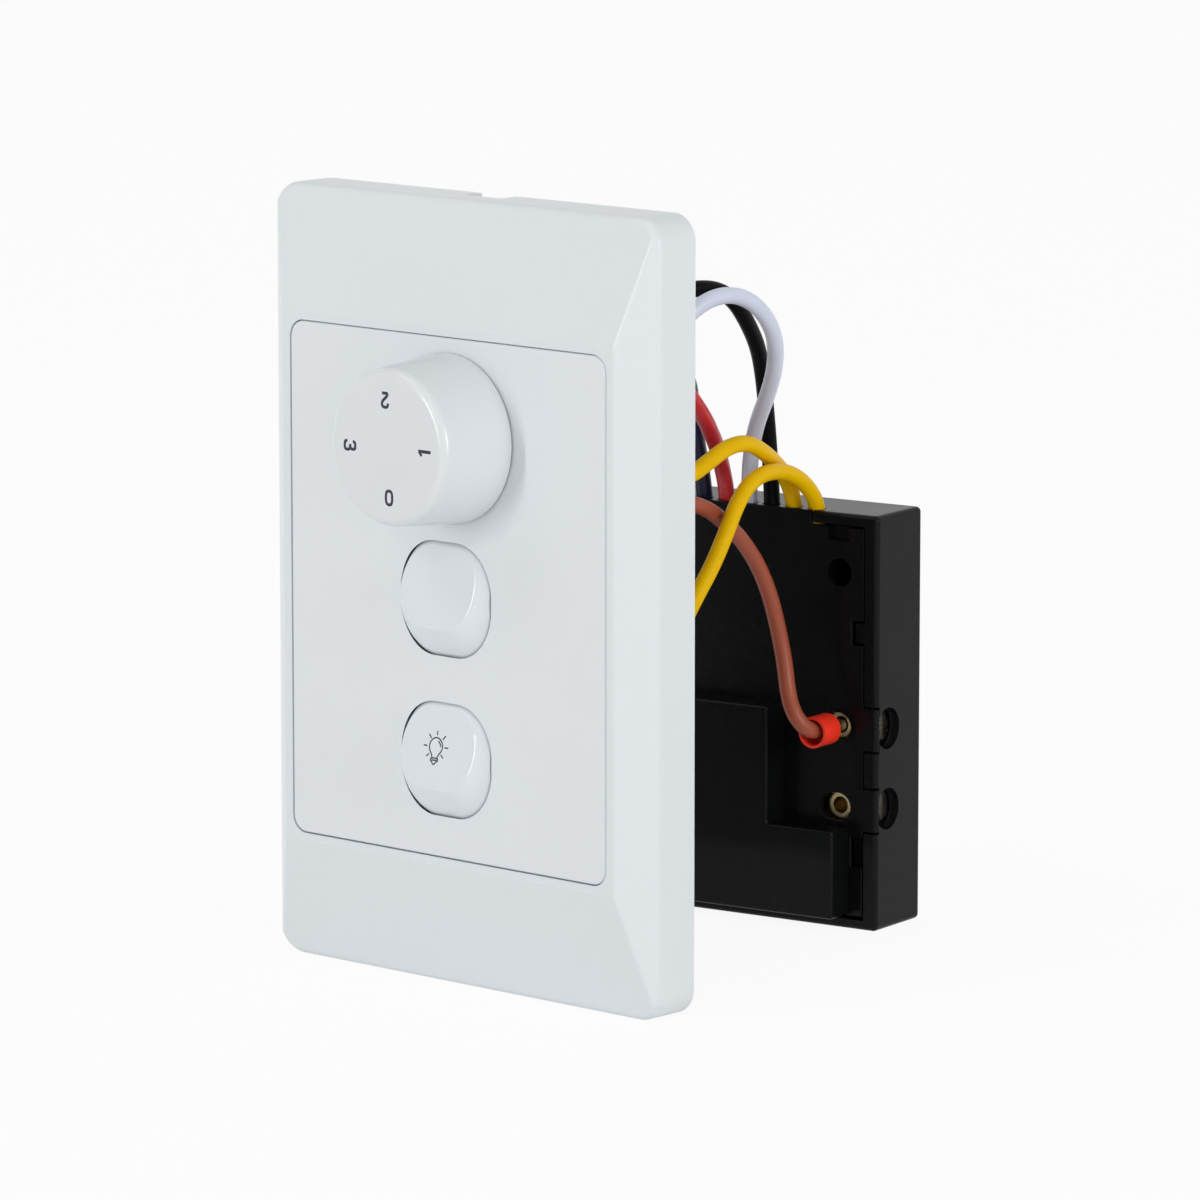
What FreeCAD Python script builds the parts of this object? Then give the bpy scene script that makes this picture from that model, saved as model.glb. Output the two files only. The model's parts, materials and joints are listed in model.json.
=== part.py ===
"""Fan speed control switch: wall plate with a rotary fan control, two rockers and a wired control box.

Millimetres. The origin is the centre of the wall-fixing face, +Z is up and the front faces -Y.
"""

import FreeCAD
import Part
import math
import os

V = FreeCAD.Vector

# Cover surround
plate_width = 76.0
plate_height = 116.0
plate_corner_radius = 4.0
rim_depth = 7.5
face_depth = 11.6
side_facet_run = 5.0
end_facet_run = 18.3
surround_wall = 2.0
front_edge_fillet = 1.1
pry_notch_width = 7.0
pry_notch_depth = 3.5
pry_notch_height = 3.0
skirt_depth = 5.0
skirt_wall = 1.2

# Inner panel and grid plate
panel_side_border = 6.65
panel_width = plate_width - 2 * panel_side_border
panel_height = 76.5
panel_corner_radius = 2.5
panel_gap = 0.15
panel_skin = 2.0
panel_wall = 1.6
panel_edge_fillet = 0.35
flange_thickness = 2.4
flange_gap = 0.4
fixing_pitch = 84.0
fixing_hole_radius = 2.1
fixing_boss_radius = 5.0
fixing_boss_height = 4.4
latch_post_width = 12.0
latch_post_pitch = 44.0
latch_post_thickness = 1.2
latch_overlap = 0.4
latch_gap = 0.2
latch_room = 0.85
latch_setback = 2.3
latch_ridge_thickness = 0.9
latch_post_lead = 1.6
latch_bump_depth = 1.0
stiffener_thickness = 1.4
stiffener_end_gap = 4.0

# Mechanism modules behind the panel
module_pitch = 23.7
module_width = 23.6
module_height = 23.2
module_back = 20.0
module_rib_gap = 0.15
module_rib_thickness = 1.3
module_rib_depth = 9.0
module_rib_end_gap = 1.9
module_corner = 0.8
fit_gap = 0.05

# Rocker switches
pivot_depth = 6.6
window_half_width = 9.0
window_flat_half = 2.2
barrel_radius = 10.72
barrel_corner = 7.86
rocker_face_height = 8.5
rocker_wall = 1.6
rocker_skirt = 2.0
rocker_gap = 0.3
rocker_edge_fillet = 0.5
rocker_travel = 26.0
trunnion_radius = 1.6
trunnion_end_gap = 0.4
ear_radius = 3.0
boss_radius = 3.2
boss_length = 3.0
plunger_radius = 1.9
plunger_reach = 4.6
plunger_length = 5.6
plunger_wall = 0.55
plunger_pocket = 3.5
plunger_spring_inset = 0.35
spring_wire = 0.4
switch_side_wall = 2.0
switch_end_wall = 0.85
switch_chamber_depth = 9.0
switch_floor = 2.0
arm_gap = 0.15
arm_thickness = 0.8
arm_length = 15.0
arm_width = 5.0
arm_curl_radius = 0.9
arm_curl_sink = 0.15
arm_travel = 8.0
contact_radius = 1.2
contact_height = 0.5
contact_margin = 0.3
contact_post_half = 1.6
strip_thickness = 0.8
strip_inner_end = 3.4
cradle_half = 2.2
cradle_cheek = 0.4
lead_overlap = 1.5
lead_half = 2.4

# Tunnel terminals in the modules
terminal_size = 5.8
terminal_offset = 7.2
terminal_seat = 1.5
insulation_bore = 1.45
open_bore = 1.3
conductor_bore = 0.9
conductor_bore_depth = 6.0
wire_hole_radius = 1.6
screw_depth = 4.4
screw_radius = 1.45
screw_head_radius = 2.0
screw_head_height = 1.6
screw_slot = 0.6
screw_slot_depth = 0.7
screw_access_radius = 2.25

# Rotary fan control
bush_radius = 4.5
bush_reach = 2.6
nut_thickness = 2.0
nut_across_flats = 11.6
shaft_radius = 3.0
shaft_flat = 2.2
rotary_split = 6.0
rotary_front_wall = 2.2
rotor_chamber_radius = 10.2
wheel_radius = 8.0
wheel_thickness = 4.0
wheel_rear_gap = 1.5
shoulder_radius = 5.0
ball_radius = 1.5
ball_gap = 0.25
ball_side_gap = 0.1
notch_radius = 1.7
notch_depth = 0.8
detent_channel_end = 14.2
spring_inset = 0.45
wiper_thickness = 0.8
wiper_reach = 7.4
wiper_width = 3.2
wiper_hub_radius = 3.6
rotor_pin_radius = 1.5
contact_gap = 0.3

# Knob
knob_x = 0.9
knob_base_radius = 12.45
knob_face_radius = 11.4
knob_height = 12.9
knob_gap = 0.25
knob_edge_radius = 1.3
knob_wall = 1.7
knob_hub_radius = 5.2
knob_hub_gap = 0.5
knob_rib_thickness = 1.1
knob_rib_gap = 0.8
shaft_end_gap = 0.4

# Control box
box_width = 50.0
box_depth = 13.0
box_height = 63.8
box_yaw = 8.67
box_corner = V(20.1, 61.5, -plate_height / 2)
box_wall = 1.6
box_back_wall = 1.2
box_edge_fillet = 0.8
box_rim = 2.2
box_bottom_rim = 1.5
box_top_rim = 1.75
box_bracket = 11.6
lid_gap = 0.15
seam_gap = 0.4
lid_recess = 0.35
lid_thickness = 1.5
lid_edge_fillet = 0.25
lid_top_return = 2.2
lid_top_overlap = 2.85
bulge_height = 4.5
bulge_wall = 1.4
bulge_fillet = 0.45
bulge_low_right = 5.1
bulge_high_right = 16.8
bulge_left_margin = 5.0
bulge_bottom = 2.1
bulge_step = 15.7
bulge_top = 33.8
terminal_inset = 7.6
upper_terminal_height = 31.0
lower_terminal_height = 18.6
terminal_window_width = 5.7
terminal_window_height = 4.4
screw_window_radius = 3.2
screw_window_depth = 3.35
tab_thickness = 0.8
tab_edge_fillet = 0.7
catch_inset = 4.7
catch_recess = 0.9
catch_spans = [(9.7, 14.1), (43.7, 47.5)]
slot_right = 5.2
slot_left = 9.0
slot_height = 2.2
slot_depth = 1.0
round_hole_inset = 6.95
round_hole_height = 54.65
round_hole_radius = 2.15
round_hole_tube = 1.1
box_screw_depth = 4.8
box_screw_lift = 0.6
box_screw_head_radius = 2.3
box_screw_head_height = 2.0
box_terminal_front = 3.0
box_terminal_neck = 2.1
box_neck_radius = 1.9
box_bore_radius = 1.3
box_bore_end = 8.0
board_front = 9.4
board_thickness = 1.6
board_side_gap = 1.8
board_top_gap = 5.3
board_post_radius = 1.8
board_post_inset = 6.0
board_post_low = 8.0
board_post_high = 44.0
capacitor_gap = 0.5
capacitor_corner = 0.9
capacitor_spacing = 0.6

# Sleeved end of the brown wire
collar_radius = 2.4
collar_bore = 2.0
collar_front = 6.2
collar_back = 1.8
collar_shoulder = 1.4
pin_radius = 1.1
pin_end = 6.5

# Hook-up wires
wire_radius = 1.25
wire_notch_radius = 1.45
wire_notch_depth = 2.2
first_wire_inset = 12.2
wire_pitch = 4.05
wire_notch_bottom = 55.0
bend_share = 0.45
wire_start_gap = 0.02
board_entry_drop = 6.0
collar_straight = 3.4

# Worked out from the sizes above
panel_front = -face_depth
panel_back = panel_front + panel_skin
pivot_y = panel_front + pivot_depth
knob_z = module_pitch
upper_z = 0.0
lower_z = -module_pitch
terminal_back = module_back - terminal_seat
stack_half = 1.5 * module_pitch
bulge_left = box_width - bulge_left_margin


def block(x0, x1, y0, y1, z0, z1):
    return Part.makeBox(x1 - x0, y1 - y0, z1 - z0, V(x0, y0, z0))


def rod(radius, start, end):
    return Part.makeCylinder(radius, (end - start).Length, start, end - start)


def rod_y(radius, x, z, y0, y1):
    return rod(radius, V(x, y0, z), V(x, y1, z))


def rod_x(radius, y, z, x0, x1):
    return rod(radius, V(x0, y, z), V(x1, y, z))


def prism(points, depth):
    """A closed outline pushed along one vector."""
    return Part.Face(Part.makePolygon(points + points[:1])).extrude(depth)


def rounded_slab(width, height, radius, y0, y1):
    """A rounded rectangle centred on the Y axis, from y0 to y1."""
    slab = block(-width / 2, width / 2, y0, y1, -height / 2, height / 2)
    corners = [e for e in slab.Edges if abs(e.BoundBox.YLength - (y1 - y0)) < 1e-6]
    return slab.makeFillet(radius, corners)


def moved(shape, x=0.0, y=0.0, z=0.0):
    copy = shape.copy()
    copy.translate(V(x, y, z))
    return copy


def turned(shape, centre, axis, degrees):
    copy = shape.copy()
    copy.rotate(centre, axis, degrees)
    return copy


def fuse(first, *others):
    return first.fuse(list(others)).removeSplitter()


def save(name, shape):
    solids = shape.Solids
    if not solids or not shape.isValid():
        raise ValueError(name + " is not a valid solid")
    whole = solids[0] if len(solids) == 1 else Part.makeCompound(solids)
    whole.exportStep("parts/" + name + ".step")
    print(name, len(solids), round(whole.Volume, 2))


def sloped_block(inset):
    """The cover's outer form with its four sloped faces, drawn in by inset for its inside."""
    half_w = plate_width / 2 - inset
    half_h = plate_height / 2 - inset
    front = panel_front + inset
    slab = rounded_slab(2 * half_w, 2 * half_h, plate_corner_radius - 0.75 * inset, front, 0)
    side_slope = (face_depth - rim_depth) / side_facet_run
    end_slope = (face_depth - rim_depth) / end_facet_run
    lean = inset * math.hypot(1, side_slope) - inset * side_slope
    rim = -rim_depth + lean
    crease = half_w - (rim - front) / side_slope
    side = prism(
        [V(-half_w, 0, -half_h), V(-half_w, rim, -half_h), V(-crease, front, -half_h),
         V(crease, front, -half_h), V(half_w, rim, -half_h), V(half_w, 0, -half_h)],
        V(0, 0, 2 * half_h))
    lean = inset * math.hypot(1, end_slope) - inset * end_slope
    rim = -rim_depth + lean
    crease = half_h - (rim - front) / end_slope
    ends = prism(
        [V(-half_w, 0, -half_h), V(-half_w, rim, -half_h), V(-half_w, front, -crease),
         V(-half_w, front, crease), V(-half_w, rim, half_h), V(-half_w, 0, half_h)],
        V(2 * half_w, 0, 0))
    return slab.common(side).common(ends)


def outer_fillet(shape):
    """Rounds the cover's rim and the creases between its sloped faces."""
    edges = [e for e in shape.Edges if e.BoundBox.YMax < -rim_depth + 1e-3]
    return shape.makeFillet(front_edge_fillet, edges)


def latch_places():
    return [(side, level) for side in (-1, 1) for level in (-latch_post_pitch / 2, latch_post_pitch / 2)]


def latch_lines():
    """Where the latch posts stand and how their bumps pass the cover's ridges."""
    inner = plate_width / 2 - surround_wall
    post_outer = inner - latch_room
    bump = post_outer + latch_overlap + 0.1
    return {"inner": inner, "post_outer": post_outer, "bump": bump, "ridge": bump - latch_overlap,
            "bump_back": -rim_depth + latch_setback}


def surround():
    shell = outer_fillet(sloped_block(0)).cut(sloped_block(surround_wall))
    hole_w = panel_width + 2 * panel_gap
    hole_h = panel_height + 2 * panel_gap
    radius = panel_corner_radius + panel_gap
    skirt = rounded_slab(hole_w + 2 * skirt_wall, hole_h + 2 * skirt_wall, radius + skirt_wall,
                         panel_front + surround_wall / 2, panel_front + skirt_depth)
    shell = shell.fuse(skirt)
    shell = shell.cut(rounded_slab(hole_w, hole_h, radius, panel_front - 1, 0))
    lines = latch_lines()
    bump_back = lines["bump_back"]
    for side, level in latch_places():
        x0, x1 = sorted((side * lines["ridge"], side * (lines["inner"] + surround_wall / 2)))
        rib = block(x0, x1, bump_back + latch_gap, bump_back + latch_gap + latch_ridge_thickness,
                    level - latch_post_width / 2, level + latch_post_width / 2)
        shell = shell.fuse(rib)
    notch = block(-pry_notch_width / 2, pry_notch_width / 2, -pry_notch_depth, 1,
                  plate_height / 2 - pry_notch_height, plate_height / 2 + 1)
    return shell.cut([notch] + mechanism_room()).removeSplitter()


def barrel(inset):
    """The form that a rocker swings in: a crowned barrel about its pivot, drawn in by inset."""
    half = window_half_width - inset
    crown = barrel_radius - inset
    arc = barrel_corner - inset
    centre = crown - arc
    lean = math.asin((half - window_flat_half) / arc)
    end = centre + arc * math.cos(lean)
    middle_x = window_flat_half + arc * math.sin(lean / 2)
    middle_r = centre + arc * math.cos(lean / 2)
    left = Part.Arc(V(-half, end, 0), V(-middle_x, middle_r, 0), V(-window_flat_half, crown, 0)).toShape()
    right = Part.Arc(V(window_flat_half, crown, 0), V(middle_x, middle_r, 0), V(half, end, 0)).toShape()
    outline = [Part.makeLine(V(-half, 0, 0), V(-half, end, 0)), left,
               Part.makeLine(V(-window_flat_half, crown, 0), V(window_flat_half, crown, 0)), right,
               Part.makeLine(V(half, end, 0), V(half, 0, 0)), Part.makeLine(V(half, 0, 0), V(-half, 0, 0))]
    return Part.Face(Part.Wire(outline)).revolve(V(0, 0, 0), V(1, 0, 0), 360)


def rocker_window(z):
    """The cut-out that a rocker swings in, through the panel's skin."""
    reach = 2 * barrel_radius
    skin = block(-reach, reach, panel_front - 1, panel_back + 0.5, z - reach, z + reach)
    return moved(barrel(0), y=pivot_y, z=z).common(skin)


def mechanism_room():
    """Space that the plate's pieces leave for the three modules and the two rockers."""
    half = module_width / 2 + fit_gap
    stack = block(-half, half, panel_back, 1, -stack_half - fit_gap, stack_half + fit_gap)
    return [stack, rocker_window(upper_z), rocker_window(lower_z)]


def grid_plate():
    inner_w = plate_width - 2 * surround_wall
    inner_h = plate_height - 2 * surround_wall
    flange = rounded_slab(inner_w - 2 * flange_gap, inner_h - 2 * flange_gap,
                          plate_corner_radius - surround_wall, -flange_thickness, 0)
    tray = rounded_slab(panel_width, panel_height, panel_corner_radius, panel_front, 0)
    front = [e for e in tray.Edges if abs(e.BoundBox.YMax - panel_front) < 1e-6]
    tray = tray.makeFillet(panel_edge_fillet, front)
    hollow = rounded_slab(panel_width - 2 * panel_wall, panel_height - 2 * panel_wall,
                          panel_corner_radius - panel_wall / 2, panel_back, 1)
    plate = fuse(flange, tray).cut(hollow)
    added = []
    lines = latch_lines()
    post_outer = lines["post_outer"]
    bump_back = lines["bump_back"]
    for side, level in latch_places():
        low = level - latch_post_width / 2
        high = level + latch_post_width / 2
        x0, x1 = sorted((side * (post_outer - latch_post_thickness), side * post_outer))
        added.append(block(x0, x1, bump_back - latch_post_lead, -flange_thickness / 2, low, high))
        x0, x1 = sorted((side * (post_outer - latch_post_thickness / 2), side * lines["bump"]))
        added.append(block(x0, x1, bump_back - latch_bump_depth, bump_back, low, high))
    for end in (-1, 1):
        z = end * fixing_pitch / 2
        added.append(rod_y(fixing_boss_radius, 0, z, -fixing_boss_height, -flange_thickness / 2))
        for x in (-panel_width / 4, panel_width / 4):
            z0, z1 = sorted((end * (panel_height / 2 - 0.2), end * (inner_h / 2 - stiffener_end_gap)))
            added.append(block(x - stiffener_thickness / 2, x + stiffener_thickness / 2,
                               -fixing_boss_height, -flange_thickness / 2, z0, z1))
    rib_inner = module_width / 2 + module_rib_gap
    rib_half = panel_height / 2 - module_rib_end_gap
    for side in (-1, 1):
        x0, x1 = sorted((side * rib_inner, side * (rib_inner + module_rib_thickness)))
        added.append(block(x0, x1, panel_back - panel_skin / 2, panel_back + module_rib_depth,
                           -rib_half, rib_half))
    plate = plate.fuse(added)
    plate = plate.cut(mechanism_room())
    plate = plate.cut(rod_y(bush_radius + fit_gap, knob_x, knob_z, panel_front - 1, panel_back + 1))
    for end in (-1, 1):
        z = end * fixing_pitch / 2
        plate = plate.cut(rod_y(fixing_hole_radius, 0, z, -face_depth, 1))
    return plate.removeSplitter()


def terminal_cell(x, z, side, y0, hole_radius=wire_hole_radius):
    """Cuts that seat one tunnel terminal: its pocket, wire hole and screw access."""
    half = terminal_size / 2 + fit_gap
    cell = block(x - half, x + half, y0, terminal_back, z - half, z + half)
    cell = cell.fuse(rod_y(hole_radius, x, z, terminal_back - 1, module_back + 1))
    y = module_back - terminal_seat - screw_depth
    wall = side * (module_width / 2 + 1)
    return cell.fuse(rod(screw_access_radius, V(x, y, z), V(wall, y, z)))


def tunnel_block(x, z, y0, side, wired):
    """A brass tunnel terminal with its wire bore at the rear and its screw hole at the side."""
    half = terminal_size / 2
    body = block(x - half, x + half, y0, terminal_back, z - half, z + half)
    bore_end = terminal_back - terminal_seat - conductor_bore_depth
    if wired:
        body = body.cut(rod_y(insulation_bore, x, z, terminal_back - terminal_seat, terminal_back + 1))
        body = body.cut(rod_y(conductor_bore, x, z, bore_end, terminal_back))
    else:
        body = body.cut(rod_y(open_bore, x, z, bore_end, terminal_back + 1))
    y = terminal_back - screw_depth
    return body.cut(rod(screw_radius + fit_gap, V(x, y, z), V(x + side * (half + 1), y, z)))


def cheese_head(centre, outward, shank, slot_axis, head_radius=screw_head_radius,
                head_height=screw_head_height):
    """A slotted terminal screw whose head sits on centre and whose shank points inward."""
    head = rod(head_radius, centre, centre + outward * head_height)
    stem = rod(screw_radius, centre, centre - outward * shank)
    across = slot_axis.cross(outward)
    wide = 2 * head_radius + 1
    floor = centre + outward * (head_height - screw_slot_depth)
    corner = floor - slot_axis * (wide / 2) - across * (screw_slot / 2)
    points = [corner, corner + slot_axis * wide, corner + slot_axis * wide + across * screw_slot,
              corner + across * screw_slot]
    return fuse(head, stem).cut(prism(points, outward * (2 * screw_slot_depth)))


def side_screw(x, z, side):
    y = terminal_back - screw_depth
    seat = V(x + side * terminal_size / 2, y, z)
    shank = terminal_size / 2 - insulation_bore - fit_gap
    return cheese_head(seat, V(side, 0, 0), shank, V(0, 1, 0))


def switch_body(z):
    half_w = module_width / 2
    half_h = module_height / 2
    outer = block(-half_w, half_w, panel_back, module_back, -half_h, half_h)
    edges = [e for e in outer.Edges if abs(e.BoundBox.YLength - (module_back - panel_back)) < 1e-6]
    outer = outer.makeFillet(module_corner, edges)
    chamber = block(-half_w + switch_side_wall, half_w - switch_side_wall, panel_back - 1,
                    switch_chamber_depth, -half_h + switch_end_wall, half_h - switch_end_wall)
    body = outer.cut(chamber)
    body = body.cut(rod_x(trunnion_radius + fit_gap, pivot_y, 0, -half_w - 1, half_w + 1))
    for side, hole_radius in ((-1, open_bore), (1, wire_hole_radius)):
        place = side * terminal_offset
        body = body.cut(terminal_cell(place, place, side, switch_chamber_depth - 1, hole_radius))
    half = terminal_size / 2
    for x, level in ((-terminal_offset, terminal_offset), (terminal_offset, -terminal_offset)):
        body = body.cut(block(x - half, x + half, switch_chamber_depth + switch_floor, module_back + 1,
                              level - half, level + half))
    return moved(body, z=z)


def rocker(z):
    """The sprung rocker button, modelled level about its pivot and tilted to its off position."""
    reach = barrel_radius + 1
    rocker_half_width = window_half_width - rocker_gap
    inner_half = rocker_half_width - rocker_wall
    cap = barrel(rocker_gap).common(block(-reach, reach, -rocker_face_height, -rocker_skirt, -reach, reach))
    face = [e for e in cap.Edges if abs(e.BoundBox.YMax + rocker_face_height) < 1e-6]
    cap = cap.makeFillet(rocker_edge_fillet, face)
    inside = block(-reach, reach, -rocker_face_height + rocker_wall, 1, -reach, reach)
    button = cap.cut(barrel(rocker_gap + rocker_wall).common(inside))
    for side in (-1, 1):
        x0, x1 = sorted((side * inner_half, side * rocker_half_width))
        ear = block(x0, x1, -rocker_skirt - 1.5, 0, -ear_radius, ear_radius)
        ear = ear.fuse(rod_x(ear_radius, 0, 0, x0, x1))
        pin_end = side * (module_width / 2 - trunnion_end_gap)
        button = button.fuse([ear, rod_x(trunnion_radius, 0, 0, side * inner_half, pin_end)])
    button = button.fuse(rod_y(boss_radius, 0, 0, -rocker_face_height + rocker_wall / 2, boss_length))
    bore_top = plunger_reach - plunger_length - plunger_pocket
    button = button.cut(rod_y(plunger_radius + fit_gap, 0, 0, bore_top, boss_length + 1))
    return placed_on_rocker(button.removeSplitter(), z)


def placed_on_rocker(shape, z):
    rest = turned(shape, V(0, 0, 0), V(1, 0, 0), -rocker_travel / 2)
    return moved(rest, y=pivot_y, z=z)


def plunger(z):
    back = plunger_reach
    front = plunger_reach - plunger_length
    pin = rod_y(plunger_radius, 0, 0, front, back)
    pin = pin.fuse(Part.makeSphere(plunger_radius, V(0, back, 0)))
    pin = pin.cut(rod_y(plunger_radius - plunger_wall, 0, 0, front - 1, back - 1))
    return placed_on_rocker(pin.removeSplitter(), z)


def coil_spring(radius, wire, length, turns):
    """A compression spring of square wire standing on the XY plane."""
    rise = length - wire
    helix = Part.makeHelix(rise / turns, rise, radius)
    half = wire / 2
    section = Part.makePolygon([V(radius - half, 0, -half), V(radius + half, 0, -half),
                                V(radius + half, 0, half), V(radius - half, 0, half),
                                V(radius - half, 0, -half)])
    coil = Part.Wire(helix.Edges).makePipeShell([section], True, True)
    return moved(coil, z=half)


def plunger_spring(z):
    front = plunger_reach - plunger_length - plunger_pocket
    back = plunger_reach - 1
    gap = 2 * fit_gap
    radius = plunger_radius - plunger_wall - plunger_spring_inset
    spring = coil_spring(radius, spring_wire, back - front - 2 * gap, 6)
    spring = turned(spring, V(0, 0, 0), V(1, 0, 0), -90)
    return placed_on_rocker(moved(spring, y=front + gap), z)


def arm_front():
    return pivot_y + plunger_reach + plunger_radius + arm_gap


def arm_pivot():
    return arm_front() + arm_thickness + arm_curl_radius - arm_curl_sink


def contact_arm(z):
    front = arm_front()
    pivot = arm_pivot()
    back = front + arm_thickness
    arm = block(-arm_width / 2, arm_width / 2, front, back, -arm_length / 2, arm_length / 2)
    arm = arm.fuse(rod_x(arm_curl_radius, pivot, 0, -arm_width / 2, arm_width / 2))
    tip = arm_length / 2 - contact_radius - contact_margin
    arm = arm.fuse(rod_y(contact_radius, 0, tip, back - arm_thickness / 2, back + contact_height))
    arm = turned(arm.removeSplitter(), V(0, pivot, 0), V(1, 0, 0), arm_travel / 2)
    return moved(arm, z=z)


def common_terminal(z):
    pivot = arm_pivot()
    strip = switch_chamber_depth - strip_thickness
    cheek = arm_width / 2 + cradle_cheek
    cradle = block(-cheek, cheek, pivot, switch_chamber_depth, -cradle_half, cradle_half)
    cradle = cradle.cut(rod_x(arm_curl_radius + fit_gap, pivot, 0, -arm_width, arm_width))
    reach = switch_side_wall - module_width / 2 + fit_gap
    lead = block(reach, arm_width / 2, strip, switch_chamber_depth, -terminal_offset - lead_overlap,
                 -strip_inner_end)
    neck = block(-arm_width / 2, arm_width / 2, strip, switch_chamber_depth, -strip_inner_end - 0.2,
                 -cradle_half + 0.2)
    head = tunnel_block(-terminal_offset, -terminal_offset, switch_chamber_depth, -1, False)
    return moved(fuse(head, lead, neck, cradle), z=z)


def active_terminal(z):
    strip = switch_chamber_depth - strip_thickness
    tip = arm_length / 2 - contact_radius - contact_margin
    swing = math.sin(math.radians(arm_travel / 2)) * tip
    seat = arm_front() + arm_thickness + contact_height + swing + contact_gap
    post = block(-contact_post_half, contact_post_half, seat, switch_chamber_depth,
                 tip - contact_radius, tip + contact_radius)
    reach = terminal_offset + terminal_size / 2
    lead = block(-contact_post_half, reach, strip, switch_chamber_depth, terminal_offset - lead_half,
                 terminal_offset + lead_half)
    head = tunnel_block(terminal_offset, terminal_offset, switch_chamber_depth, 1, True)
    return moved(fuse(head, lead, post), z=z)


def switch_screws(z):
    screws = [side_screw(side * terminal_offset, side * terminal_offset, side) for side in (-1, 1)]
    return moved(Part.makeCompound(screws), z=z)


def diagonal(radius):
    """A point towards the lower left corner of the rotary housing."""
    return V(-radius * math.sqrt(0.5), 0, -radius * math.sqrt(0.5))


def wheel_span():
    back = rotary_split - wheel_rear_gap
    return back - wheel_thickness, back


def rotary_body():
    half_w = module_width / 2
    half_h = module_height / 2
    outer = block(-half_w, half_w, panel_back, rotary_split, -half_h, half_h)
    edges = [e for e in outer.Edges if abs(e.BoundBox.YLength - (rotary_split - panel_back)) < 1e-6]
    outer = outer.makeFillet(module_corner, edges)
    outer = outer.fuse(rod_y(bush_radius, knob_x, 0, panel_front - bush_reach, panel_back + 1))
    chamber_front = panel_back + rotary_front_wall
    body = outer.cut(rod_y(rotor_chamber_radius, knob_x, 0, chamber_front, rotary_split + 1))
    body = body.cut(rod_y(shaft_radius + fit_gap, knob_x, 0, panel_front - bush_reach - 1, rotary_split))
    front, back = wheel_span()
    middle = (front + back) / 2
    width = ball_radius + ball_side_gap
    channel = block(-width, width, middle - width, rotary_split + 1, -detent_channel_end, -wheel_radius)
    channel = moved(turned(channel, V(0, 0, 0), V(0, 1, 0), 45), x=knob_x)
    return moved(body.cut(channel).removeSplitter(), z=knob_z)


def rotary_places():
    corners = [(side, end) for side in (-1, 1) for end in (-1, 1)]
    return [(side * terminal_offset, end * terminal_offset, side) for side, end in corners]


def rotary_cover():
    half_w = module_width / 2
    half_h = module_height / 2
    outer = block(-half_w, half_w, rotary_split, module_back, -half_h, half_h)
    edges = [e for e in outer.Edges if abs(e.BoundBox.YLength - (module_back - rotary_split)) < 1e-6]
    cover = outer.makeFillet(module_corner, edges)
    for x, z, side in rotary_places():
        cover = cover.cut(terminal_cell(x, z, side, rotary_split - 1))
    half = terminal_size / 2 + fit_gap
    y = terminal_back - screw_depth
    centre = block(-half, half, rotary_split - 1, terminal_back, -half, half)
    centre = centre.fuse(rod_y(wire_hole_radius, 0, 0, terminal_back - 1, module_back + 1))
    centre = centre.fuse(rod(screw_access_radius, V(0, y, 0), V(0, y, half_h + 1)))
    return moved(cover.cut(centre).removeSplitter(), z=knob_z)


def rotary_terminals():
    front = rotary_split
    blocks = [tunnel_block(x, z, front, side, True) for x, z, side in rotary_places()]
    half = terminal_size / 2
    middle = block(-half, half, front, terminal_back, -half, half)
    middle = middle.cut(rod_y(insulation_bore, 0, 0, terminal_back - terminal_seat, terminal_back + 1))
    bore_end = terminal_back - terminal_seat - conductor_bore_depth
    middle = middle.cut(rod_y(conductor_bore, 0, 0, bore_end, terminal_back))
    y = terminal_back - screw_depth
    middle = middle.cut(rod(screw_radius + fit_gap, V(0, y, 0), V(0, y, half + 1)))
    return moved(Part.makeCompound(blocks + [middle]), z=knob_z)


def rotary_screws():
    screws = [side_screw(x, z, side) for x, z, side in rotary_places()]
    half = terminal_size / 2
    seat = V(0, terminal_back - screw_depth, half)
    screws.append(cheese_head(seat, V(0, 0, 1), half - insulation_bore - fit_gap, V(0, 1, 0)))
    return moved(Part.makeCompound(screws), z=knob_z)


def hexagon(across_flats, y0, y1):
    radius = across_flats / math.sqrt(3)
    points = [V(radius * math.cos(math.radians(60 * i)), y0, radius * math.sin(math.radians(60 * i)))
              for i in range(6)]
    return prism(points, V(0, y1 - y0, 0))


def rotary_nut():
    front = panel_front - nut_thickness
    nut = hexagon(nut_across_flats, front, panel_front)
    nut = nut.cut(rod_y(bush_radius + fit_gap / 2, 0, 0, front - 1, panel_front + 1))
    return moved(nut, x=knob_x, z=knob_z)


def knob_front():
    return panel_front - knob_gap - knob_height


def shaft_flat_cut(y0, y1, clearance):
    """The slab that the shaft's flat removes, on the side the knob's grub face bears on."""
    return block(shaft_flat + clearance, shaft_radius + 1, y0, y1, -shaft_radius - 1, shaft_radius + 1)


def rotor_shaft():
    front, back = wheel_span()
    tip = knob_front() + knob_wall + shaft_end_gap
    shaft = rod_y(shaft_radius, 0, 0, tip, front)
    shaft = shaft.fuse(rod_y(shoulder_radius, 0, 0, panel_back + rotary_front_wall + fit_gap, front + 0.5))
    flat_end = panel_front - bush_reach - knob_hub_gap / 2
    shaft = shaft.cut(shaft_flat_cut(tip - 1, flat_end, 0))
    wheel = rod_y(wheel_radius, 0, 0, front, back)
    for i in range(4):
        angle = math.radians(45 + 90 * i)
        radius = wheel_radius + notch_radius - notch_depth
        x = radius * math.cos(angle)
        wheel = wheel.cut(rod_y(notch_radius, x, radius * math.sin(angle), front - 1, back + 1))
    shaft = shaft.fuse([wheel, rod_y(rotor_pin_radius, 0, 0, back - 0.5, back + wiper_thickness)])
    return moved(shaft.removeSplitter(), x=knob_x, z=knob_z)


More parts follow.
